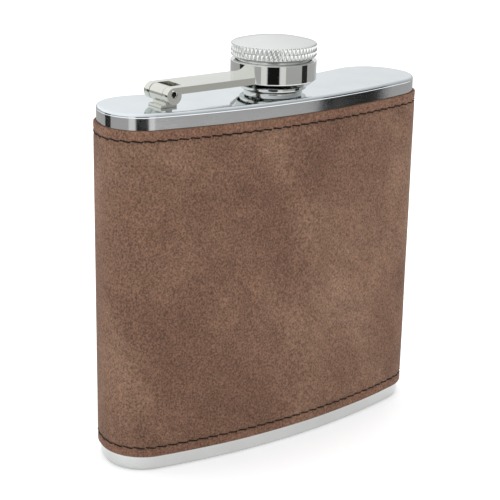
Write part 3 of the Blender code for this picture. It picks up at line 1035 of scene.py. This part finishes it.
@dataclass
class ScrewCap:
    """The knurled head, its threaded ferrule and the seal. Heights are above the top plate."""

    floor: float
    seal_bottom: float
    seal_top: float
    seal_radius: float
    ferrule_bottom: float
    ferrule_radius: float = 7.65 * MM
    thread_root: float = 7.1 * MM
    flange: float = 8.45 * MM
    flange_top: float = 2.05 * MM
    spigot_bottom: float = 7.65 * MM
    spigot_radius: float = 9.3 * MM
    head_bottom: float = 8.85 * MM
    head_radius: float = 10.85 * MM
    knurl_bottom: float = 9.4 * MM
    knurl_depth: float = 0.36 * MM
    knurl_count: int = 60
    knurl_drop: float = 2.75 * MM
    knurl_flat: float = 0.12
    dome: float = 1.4 * MM
    stub: float = 6.2 * MM
    soft: float = 0.15 * MM
    screw: Screw = field(default_factory=Screw)
    steps: int = 128
    steps_per_tooth: int = 20
    knurl_rows: int = 22

    def build(self) -> None:
        """Builds the three pieces."""
        self.build_ferrule()
        self.build_seal()
        self.build_head()

    def build_ferrule(self) -> None:
        """The skirt that screws on the neck, with the flange that keeps it in the collar."""
        soft = self.soft
        bottom, top = self.ferrule_bottom + self.screw.lead, self.seal_bottom - soft
        seat = self.seal_top + 0.2 * MM
        shape = [
            *corner((self.flange - 2 * soft, self.ferrule_bottom + 2 * soft), 2 * soft, -90, 0, 5),
            *corner((self.flange - soft, self.flange_top - soft), soft, 0, 90, 4),
            (self.ferrule_radius, self.flange_top),
            (self.ferrule_radius, self.spigot_bottom - soft),
            (self.stub + soft, self.spigot_bottom - soft),
            (self.stub + soft, seat),
            (self.thread_root, seat),
            *reversed(self.screw.wall(self.thread_root, bottom, top)),
            (self.thread_root, self.ferrule_bottom + soft),
            (self.thread_root + soft, self.ferrule_bottom),
        ]
        bm = turn(shape, self.steps)
        self.screw.roll(bm, self.thread_root, bottom, top, inward=True)
        bmesh.ops.translate(bm, verts=bm.verts, vec=(0.0, 0.0, self.floor))
        finish_mesh(bm, "threaded_ferrule", CHROME, Body.CAP, ["cap_ferrule"])

    def build_seal(self) -> None:
        """The silicone disc, its rim a little rounded."""
        soft = 0.2 * MM
        shape = [
            (0.0, self.seal_bottom),
            *corner((self.seal_radius - soft, self.seal_bottom + soft), soft, -90, 0, 4),
            *corner((self.seal_radius - soft, self.seal_top - soft), soft, 0, 90, 4),
            (0.0, self.seal_top),
        ]
        bm = turn(shape, self.steps, self.floor)
        finish_mesh(bm, "silicone_seal", SiliconeFinish(), Body.CAP_SEAL, ["seal_washer"])

    def knurl(self, angle: float, z: float) -> float:
        """How far the knurl is cut in at a point: two sets of slanting grooves that leave diamonds.

        Args:
            angle: The direction from the axis.
            z: The height above the knurl's lower edge.

        Returns:
            The depth.
        """
        round_way = angle / (2 * pi) * self.knurl_count
        rise = z / self.knurl_drop
        cut = 0.0
        for side in (1, -1):
            phase = (round_way + side * rise) % 1.0
            away = abs(phase - 0.5) * 2
            cut = max(cut, away)
        return self.knurl_depth * max(0.0, cut - self.knurl_flat) / (1 - self.knurl_flat)

    def ring(self, radius: float, z: float) -> list[Vector]:
        """A round row of the head's mesh."""
        count = self.knurl_count * self.steps_per_tooth
        angles = [2 * pi * i / count for i in range(count)]
        return [Vector((radius * cos(a), radius * sin(a), self.floor + z)) for a in angles]

    def knurl_row(self, step: int) -> list[Vector]:
        """A row of the knurl, shallower at its two edges.

        Args:
            step: The row's number, from the bottom.

        Returns:
            The points.
        """
        z = self.knurl_drop * step / self.steps_per_tooth
        fade = min(1.0, step / 2, (self.knurl_rows - step) / 2)
        row = []
        for point in self.ring(1.0, self.knurl_bottom + z):
            cut = self.knurl(atan2(point.y, point.x), z) * (0.35 + 0.65 * fade)
            radius = self.head_radius - cut - 0.8 * self.soft * (1 - fade)
            row.append(Vector((point.x * radius, point.y * radius, point.z)))
        return row

    def build_head(self) -> None:
        """The domed head with its spigot and its diamond knurl."""
        soft, spigot, bottom = self.soft, self.spigot_radius, self.head_bottom
        rim = self.head_radius - self.knurl_depth
        knurl_top = self.knurl_bottom + self.knurl_drop * self.knurl_rows / self.steps_per_tooth
        outline = [
            (self.stub, self.seal_top + soft),
            (self.stub, self.spigot_bottom),
            (spigot - soft, self.spigot_bottom),
            (spigot, self.spigot_bottom + soft),
            (spigot, bottom - soft),
            (spigot + soft, bottom),
            (rim - 3 * soft, bottom),
            (rim - 2 * soft, bottom + 0.4 * soft),
            (rim - 0.4 * soft, self.knurl_bottom - soft),
        ]
        rows = [self.ring(radius, z) for radius, z in outline]
        rows += [self.knurl_row(step) for step in range(self.knurl_rows + 1)]
        rows.append(self.ring(rim, knurl_top + 0.6 * soft))
        crown = rim - soft
        ball = (crown**2 + self.dome**2) / (2 * self.dome)
        for share in (1.0, 0.97, 0.9, 0.8, 0.65, 0.5, 0.35, 0.2, 0.08):
            across = crown * share
            fall = ball - (ball**2 - across**2) ** 0.5
            rows.append(self.ring(across, knurl_top + soft + self.dome - fall))
        bm = bmesh.new()
        skin(bm, rows, closed_rows=True, closed_columns=False)
        lid(bm, rows[0])
        lid(bm, rows[-1])
        weld(bm)
        finish_mesh(bm, "knurled_head", CAP_STEEL, Body.CAP, ["cap_head"], 28.0)


@dataclass
class Collar:
    """The polished ring that the cap turns in. Heights are above the top plate."""

    floor: float
    radius: float
    skirt_bottom: float
    top: float
    wall_bottom: float = 3.5 * MM
    bore: float = 7.85 * MM
    counterbore: float = 9.05 * MM
    skirt_rim: float = 0.35 * MM
    recess: float = 9.65 * MM
    lip_bottom: float = 5.25 * MM
    lip_top: float = 6.45 * MM
    soft: float = 0.16 * MM
    steps: int = 192

    def build(self) -> None:
        """Builds the collar."""
        shape = rounded_profile(
            [
                (self.counterbore, self.skirt_bottom),
                (self.counterbore + self.skirt_rim, self.skirt_bottom),
                (self.radius, self.wall_bottom),
                (self.radius, self.top),
                (self.recess, self.top),
                (self.recess, self.lip_top),
                (self.bore, self.lip_top),
                (self.bore, self.lip_bottom),
                (self.counterbore, self.lip_bottom),
            ],
            self.soft,
            4,
        )
        bm = turn(shape, self.steps, self.floor)
        finish_mesh(bm, "polished_collar", CHROME, Body.COLLAR_ARM, ["cap_collar"])


# ---------------------------------------------------------------- the hinge


@dataclass
class Hinge:
    """The arm with its lugs, the post that it turns on, and the hollow pin."""

    pin: Vector
    floor: float
    collar_radius: float
    width: float
    lug: float = 2.05 * MM
    lug_drop: float = 0.4 * MM
    strap: float = 1.7 * MM
    lug_thickness: float = 2.2 * MM
    window: float = 1.6 * MM
    pin_radius: float = 0.9 * MM
    pin_bore: float = 0.65 * MM
    pin_nicks: int = 6
    collar_steps: int = 192
    post: float = 1.9 * MM
    foot_length: float = 4.6 * MM
    foot_thickness: float = 0.6 * MM
    side_gap: float = 0.15 * MM
    steps: int = 48

    def build(self) -> None:
        """Builds the arm, the post and the pin."""
        self.build_arm()
        self.build_knuckle()
        self.build_pin()

    def extrude(self, outline: Sequence[Point2], half: float) -> bmesh.types.BMesh:
        """A solid with an outline in X and Z, centred on Y = 0.

        Args:
            outline: The points round the pin, as (x, z).
            half: Half the width.

        Returns:
            The mesh.
        """
        bm = bmesh.new()
        sides = [
            [self.pin + Vector((x, y, z)) for x, z in outline] for y in (-half, half)
        ]
        skin(bm, sides, closed_rows=True, closed_columns=False)
        lid(bm, sides[0])
        lid(bm, sides[1])
        weld(bm)
        return bm

    def cut(self, piece: bpy.types.Object, bm: bmesh.types.BMesh) -> None:
        """Takes a shape away from a piece.

        Args:
            piece: The piece.
            bm: The shape, which is freed.
        """
        bmesh.ops.recalc_face_normals(bm, faces=bm.faces)
        mesh = bpy.data.meshes.new("cut")
        bm.to_mesh(mesh)
        bm.free()
        tool = bpy.data.objects.new("cut", mesh)
        bpy.context.collection.objects.link(tool)
        boolean = piece.modifiers.new("cut", "BOOLEAN")
        boolean.operation = "DIFFERENCE"
        boolean.object = tool
        graph = bpy.context.evaluated_depsgraph_get()
        done = bpy.data.meshes.new_from_object(piece.evaluated_get(graph), depsgraph=graph)
        piece.modifiers.clear()
        materials = list(piece.data.materials)
        piece.data = done
        done.materials.clear()
        for material in materials:
            done.materials.append(material)
        bpy.data.objects.remove(tool)

    def soften(self, piece: bpy.types.Object, width: float) -> None:
        """Rounds the edges of a piece.

        Args:
            piece: The piece.
            width: How wide the rounding is.
        """
        bevel = piece.modifiers.new("edges", "BEVEL")
        bevel.width = width
        bevel.segments = 3
        bevel.limit_method = "ANGLE"
        bevel.angle_limit = radians(40)
        bevel.harden_normals = False
        graph = bpy.context.evaluated_depsgraph_get()
        done = bpy.data.meshes.new_from_object(piece.evaluated_get(graph), depsgraph=graph)
        piece.modifiers.clear()
        piece.data = done
        done.shade_smooth()
        done.set_sharp_from_angle(angle=radians(32))
        weighted = piece.modifiers.new("normals", "WEIGHTED_NORMAL")
        weighted.keep_sharp = True

    def rod(self, radius: float, half: float) -> bmesh.types.BMesh:
        """A rod along the pin's axis."""
        return self.extrude(corner((0.0, 0.0), radius, 0, 360 - 360 / self.steps, self.steps - 1), half)

    def block(self, low: Vector, high: Vector) -> bmesh.types.BMesh:
        """A box between two corners."""
        bm = bmesh.new()
        bmesh.ops.create_cube(bm, size=1.0)
        size = high - low
        bmesh.ops.scale(bm, verts=bm.verts, vec=size)
        bmesh.ops.translate(bm, verts=bm.verts, vec=(low + high) / 2)
        return bm

    def build_arm(self) -> None:
        """The strap, its two lugs and the window between them."""
        top = self.lug - self.lug_drop
        under = top - self.strap
        leave = 360.0 + degrees(asin((under + self.lug_drop) / self.lug))
        outline = corner((0.0, -self.lug_drop), self.lug, 90.0, leave, self.steps)
        reach = -self.pin.x
        outline += [(reach, under), (reach, top)]
        bm = self.extrude(outline, self.width / 2)
        arm = finish_mesh(bm, "hinge_strap", NICKEL, Body.COLLAR_ARM, ["hinge_arm"])
        gap = self.width / 2 - self.lug_thickness
        far = self.lug + self.window
        tall = 3 * self.lug
        low, high = self.pin + Vector((-far, -gap, -tall)), self.pin + Vector((far, gap, tall))
        self.cut(arm, self.block(low, high))
        ring = turn(
            [
                (0.0, self.pin.z - tall),
                (self.collar_radius, self.pin.z - tall),
                (self.collar_radius, self.pin.z + tall),
                (0.0, self.pin.z + tall),
            ],
            self.collar_steps,
        )
        self.cut(arm, ring)
        self.cut(arm, self.rod(self.pin_radius + 0.02 * MM, self.width))
        self.soften(arm, 0.16 * MM)

    def build_knuckle(self) -> None:
        """The post on the top plate and the barrel that the pin goes through."""
        low = self.floor - self.pin.z
        foot = low + self.foot_thickness
        meet = degrees(asin(self.post / 2 / self.lug))
        outline = [(self.foot_length / 2, low), (self.foot_length / 2, foot), (self.post / 2, foot)]
        outline += corner((0.0, -self.lug_drop), self.lug, meet - 90, 270 - meet, self.steps)
        outline += [(-self.post / 2, foot), (-self.foot_length / 2, foot), (-self.foot_length / 2, low)]
        half = self.width / 2 - self.lug_thickness - self.side_gap
        bm = self.extrude(outline, half)
        knuckle = finish_mesh(bm, "hinge_post", NICKEL, Body.FLASK, ["hinge_knuckle"])
        self.cut(knuckle, self.rod(self.pin_radius + 0.02 * MM, self.width))
        self.soften(knuckle, 0.12 * MM)

    def build_pin(self) -> None:
        """The hollow pin, the mouths of its bore flared and nicked where they were staked."""
        half, soft = self.width / 2 - 0.05 * MM, 0.06 * MM
        bore = self.pin_bore
        outline = [
            (self.pin_radius - soft, 0.0, 0.0),
            (self.pin_radius, soft, 0.0),
            (bore, 2 * soft, 0.0),
            (bore + soft, 0.0, soft),
        ]
        rows = []
        for side, order in ((-1, outline[::-1]), (1, outline)):
            for radius, depth, nicked in order:
                row = []
                for i in range(self.steps):
                    angle = 2 * pi * i / self.steps
                    here = radius + nicked * cos(self.pin_nicks * angle)
                    across = side * (half - depth)
                    row.append(self.pin + Vector((here * cos(angle), across, here * sin(angle))))
                rows.append(row)
        bm = bmesh.new()
        skin(bm, rows, closed_rows=True, closed_columns=True)
        finish_mesh(bm, "hollow_pin", PIN_STEEL, Body.COLLAR_ARM, ["hinge_pin"])


# ---------------------------------------------------------------- the studio


@dataclass(frozen=True)
class Card:
    """An upright card that curves round the flask, which only bright metal shows."""

    name: str
    turned: float
    spread: float
    light: float
    reach: float = 300.0 * MM
    height: float = 120.0 * MM
    step: float = 3.0

    def build(self, facing: float) -> None:
        """Builds the card, standing on the floor.

        Args:
            facing: The direction that the cards' places are turned from, in degrees.
        """
        middle = facing + self.turned
        steps = max(2, round(self.spread / self.step))
        angles = np.radians(np.linspace(middle - self.spread / 2, middle + self.spread / 2, steps + 1))
        places = [Vector((sin(angle), -cos(angle), 0.0)) * self.reach for angle in angles]
        bm = bmesh.new()
        rise = Vector((0.0, 0.0, self.height))
        skin(bm, [places, [place + rise for place in places]], closed_rows=False, closed_columns=False)
        mesh = bpy.data.meshes.new(self.name)
        bm.to_mesh(mesh)
        bm.free()
        nodes = Nodes(self.name)
        nodes.shader.inputs["Base Color"].default_value = (0.0, 0.0, 0.0, 1.0)
        nodes.shader.inputs["Specular IOR Level"].default_value = 0.0
        nodes.shader.inputs["Emission Color"].default_value = (1.0, 1.0, 1.0, 1.0)
        nodes.shader.inputs["Emission Strength"].default_value = self.light
        mesh.materials.append(nodes.material)
        card = bpy.data.objects.new(self.name, mesh)
        card.visible_camera = card.visible_diffuse = card.visible_shadow = False
        bpy.context.collection.objects.link(card)


@dataclass
class Studio:
    """The floor, the soft lights, the plain cards and the camera."""

    azimuth: float = -36.9
    elevation: float = 18.1
    roll: float = 1.1
    distance: float = 374.0 * MM
    aim_height: float = 55.0 * MM
    aim_right: float = -5.1 * MM
    aim_up: float = -5.1 * MM
    lens_mm: float = 103.2
    floor_size: float = 30.0
    floor_glow: float = 0.2
    brightest: tuple[float, float, float] = (-0.5, 0.5, 0.5)
    surround: Point2 = (0.45, 1.2)

    def build(self) -> None:
        """Builds the studio."""
        self.build_floor()
        self.build_cards()
        self.build_world()
        self.build_lights()
        self.build_camera()

    def build_floor(self) -> None:
        """A plain, nearly white floor."""
        bm = bmesh.new()
        bmesh.ops.create_grid(bm, x_segments=1, y_segments=1, size=self.floor_size / 2)
        mesh = bpy.data.meshes.new("studio_floor")
        bm.to_mesh(mesh)
        bm.free()
        nodes = Nodes("studio_floor")
        nodes.shader.inputs["Base Color"].default_value = (0.9, 0.9, 0.9, 1.0)
        nodes.shader.inputs["Roughness"].default_value = 0.9
        nodes.shader.inputs["Specular IOR Level"].default_value = 0.1
        nodes.shader.inputs["Emission Color"].default_value = (1.0, 1.0, 1.0, 1.0)
        nodes.shader.inputs["Emission Strength"].default_value = self.floor_glow
        mesh.materials.append(nodes.material)
        floor_piece = bpy.data.objects.new("studio_floor", mesh)
        bpy.context.collection.objects.link(floor_piece)

    def build_cards(self) -> None:
        """A grey wall all round, a black card under the camera, and white and black ones to each side."""
        Card("grey_wall", 0.0, 360.0, 0.5, reach=320.0 * MM).build(self.azimuth)
        Card("camera_card", 0.0, 30.0, 0.01).build(self.azimuth)
        for side, name in ((-1, "left"), (1, "right")):
            Card(f"{name}_white_card", side * 25.0, 15.0, 0.9).build(self.azimuth)
            Card(f"{name}_black_card", side * 90.0, 20.0, 0.03).build(self.azimuth)

    def build_world(self) -> None:
        """A white surround, brighter above and behind on the left than in front."""
        world = bpy.data.worlds.new("studio")
        world.use_nodes = True
        tree = world.node_tree
        where = tree.nodes.new("ShaderNodeTexCoord")
        along = tree.nodes.new("ShaderNodeVectorMath")
        along.operation = "DOT_PRODUCT"
        along.inputs[1].default_value = Vector(self.brightest).normalized()
        ramp = tree.nodes.new("ShaderNodeMapRange")
        ramp.inputs["From Min"].default_value, ramp.inputs["From Max"].default_value = -0.7, 0.7
        ramp.inputs["To Min"].default_value, ramp.inputs["To Max"].default_value = self.surround
        background = tree.nodes["Background"]
        background.inputs["Color"].default_value = (0.97, 0.985, 1.0, 1.0)
        tree.links.new(where.outputs["Generated"], along.inputs[0])
        tree.links.new(along.outputs["Value"], ramp.inputs["Value"])
        tree.links.new(ramp.outputs["Result"], background.inputs["Strength"])
        bpy.context.scene.world = world

    def softbox(
        self, name: str, azimuth: float, elevation: float, reach: float, size: Point2, power: float
    ) -> None:
        """A large area light that faces the flask and isn't mirrored in its metal.

        Args:
            name: The light's name.
            azimuth: Its direction, in degrees, 0 in front of the flask and 90 at its +X side.
            elevation: Its height, in degrees.
            reach: How far away it is.
            size: Its width and height.
            power: Its power in watts.
        """
        light = bpy.data.lights.new(name, "AREA")
        light.shape = "RECTANGLE"
        light.size, light.size_y = size
        light.energy = power
        lamp = bpy.data.objects.new(name, light)
        lamp.visible_glossy = False
        a, e = radians(azimuth), radians(elevation)
        away = Vector((sin(a) * cos(e), -cos(a) * cos(e), sin(e)))
        lamp.location = away * reach + Vector((0.0, 0.0, self.aim_height))
        lamp.rotation_euler = away.to_track_quat("Z", "Y").to_euler()
        bpy.context.collection.objects.link(lamp)

    def build_lights(self) -> None:
        """A big box overhead and a smaller one on the right."""
        self.softbox("overhead_box", 150, 78, 1.1, (1.1, 1.1), 5.0)
        self.softbox("right_box", 40, 38, 1.0, (0.6, 0.6), 1.6)

    def build_camera(self) -> None:
        """The camera, set as the scene's."""
        a, e, turn_by = radians(self.azimuth), radians(self.elevation), radians(self.roll)
        back = Vector((sin(a) * cos(e), -cos(a) * cos(e), sin(e)))
        level = Vector((0.0, 0.0, 1.0)).cross(back).normalized()
        rise = back.cross(level)
        right = level * cos(turn_by) + rise * sin(turn_by)
        up = rise * cos(turn_by) - level * sin(turn_by)
        aim = Vector((0.0, 0.0, self.aim_height)) + right * self.aim_right + up * self.aim_up
        place = aim + back * self.distance
        lens = bpy.data.cameras.new("camera")
        lens.lens = self.lens_mm
        lens.clip_start, lens.clip_end = 0.01, 40.0
        camera = bpy.data.objects.new("camera", lens)
        turned = Matrix((right, up, back)).transposed().to_4x4()
        camera.matrix_world = Matrix.Translation(place) @ turned
        bpy.context.collection.objects.link(camera)
        bpy.context.scene.camera = camera
        bpy.context.scene.view_settings.view_transform = "Standard"


def above(node: str, base: float) -> tuple[float, float, float]:
    """A round node's lowest and highest level above a height, and its radius.

    Args:
        node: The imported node's name.
        base: The height.

    Returns:
        The lower level, the upper level and the radius.
    """
    low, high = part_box(node)
    return low.z - base, high.z - base, (high.x - low.x) / 2


def main() -> None:
    """Builds the flask's looks, then the studio."""
    logging.basicConfig(level=logging.INFO, format="%(name)s %(message)s")
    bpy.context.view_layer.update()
    steel_low, steel_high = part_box("body_shell")
    _, plate_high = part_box("top_plate")
    leather_low, leather_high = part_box("leather_wrap")
    top = plate_high.z
    section = HipSection(steel_high.x)
    SteelBottle(section, top).build()
    LeatherJacket(section, leather_low.z, leather_high.z).build()
    Spout(top).build()
    seal_bottom, seal_top, seal_radius = above("seal_washer", top)
    ferrule_bottom, _, _ = above("cap_ferrule", top)
    ScrewCap(top, seal_bottom, seal_top, seal_radius, ferrule_bottom).build()
    skirt_bottom, collar_top, collar_radius = above("cap_collar", top)
    Collar(top, collar_radius, skirt_bottom, collar_top).build()
    swing = next(joint for joint in frame["record"]["behaviour"]["joints"] if joint["name"] == "arm_swing")
    arm_low, arm_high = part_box("hinge_arm")
    Hinge(Vector(swing["pos_m"]), top, collar_radius, arm_high.y - arm_low.y).build()
    Studio().build()


if __name__ == "__main__":
    main()
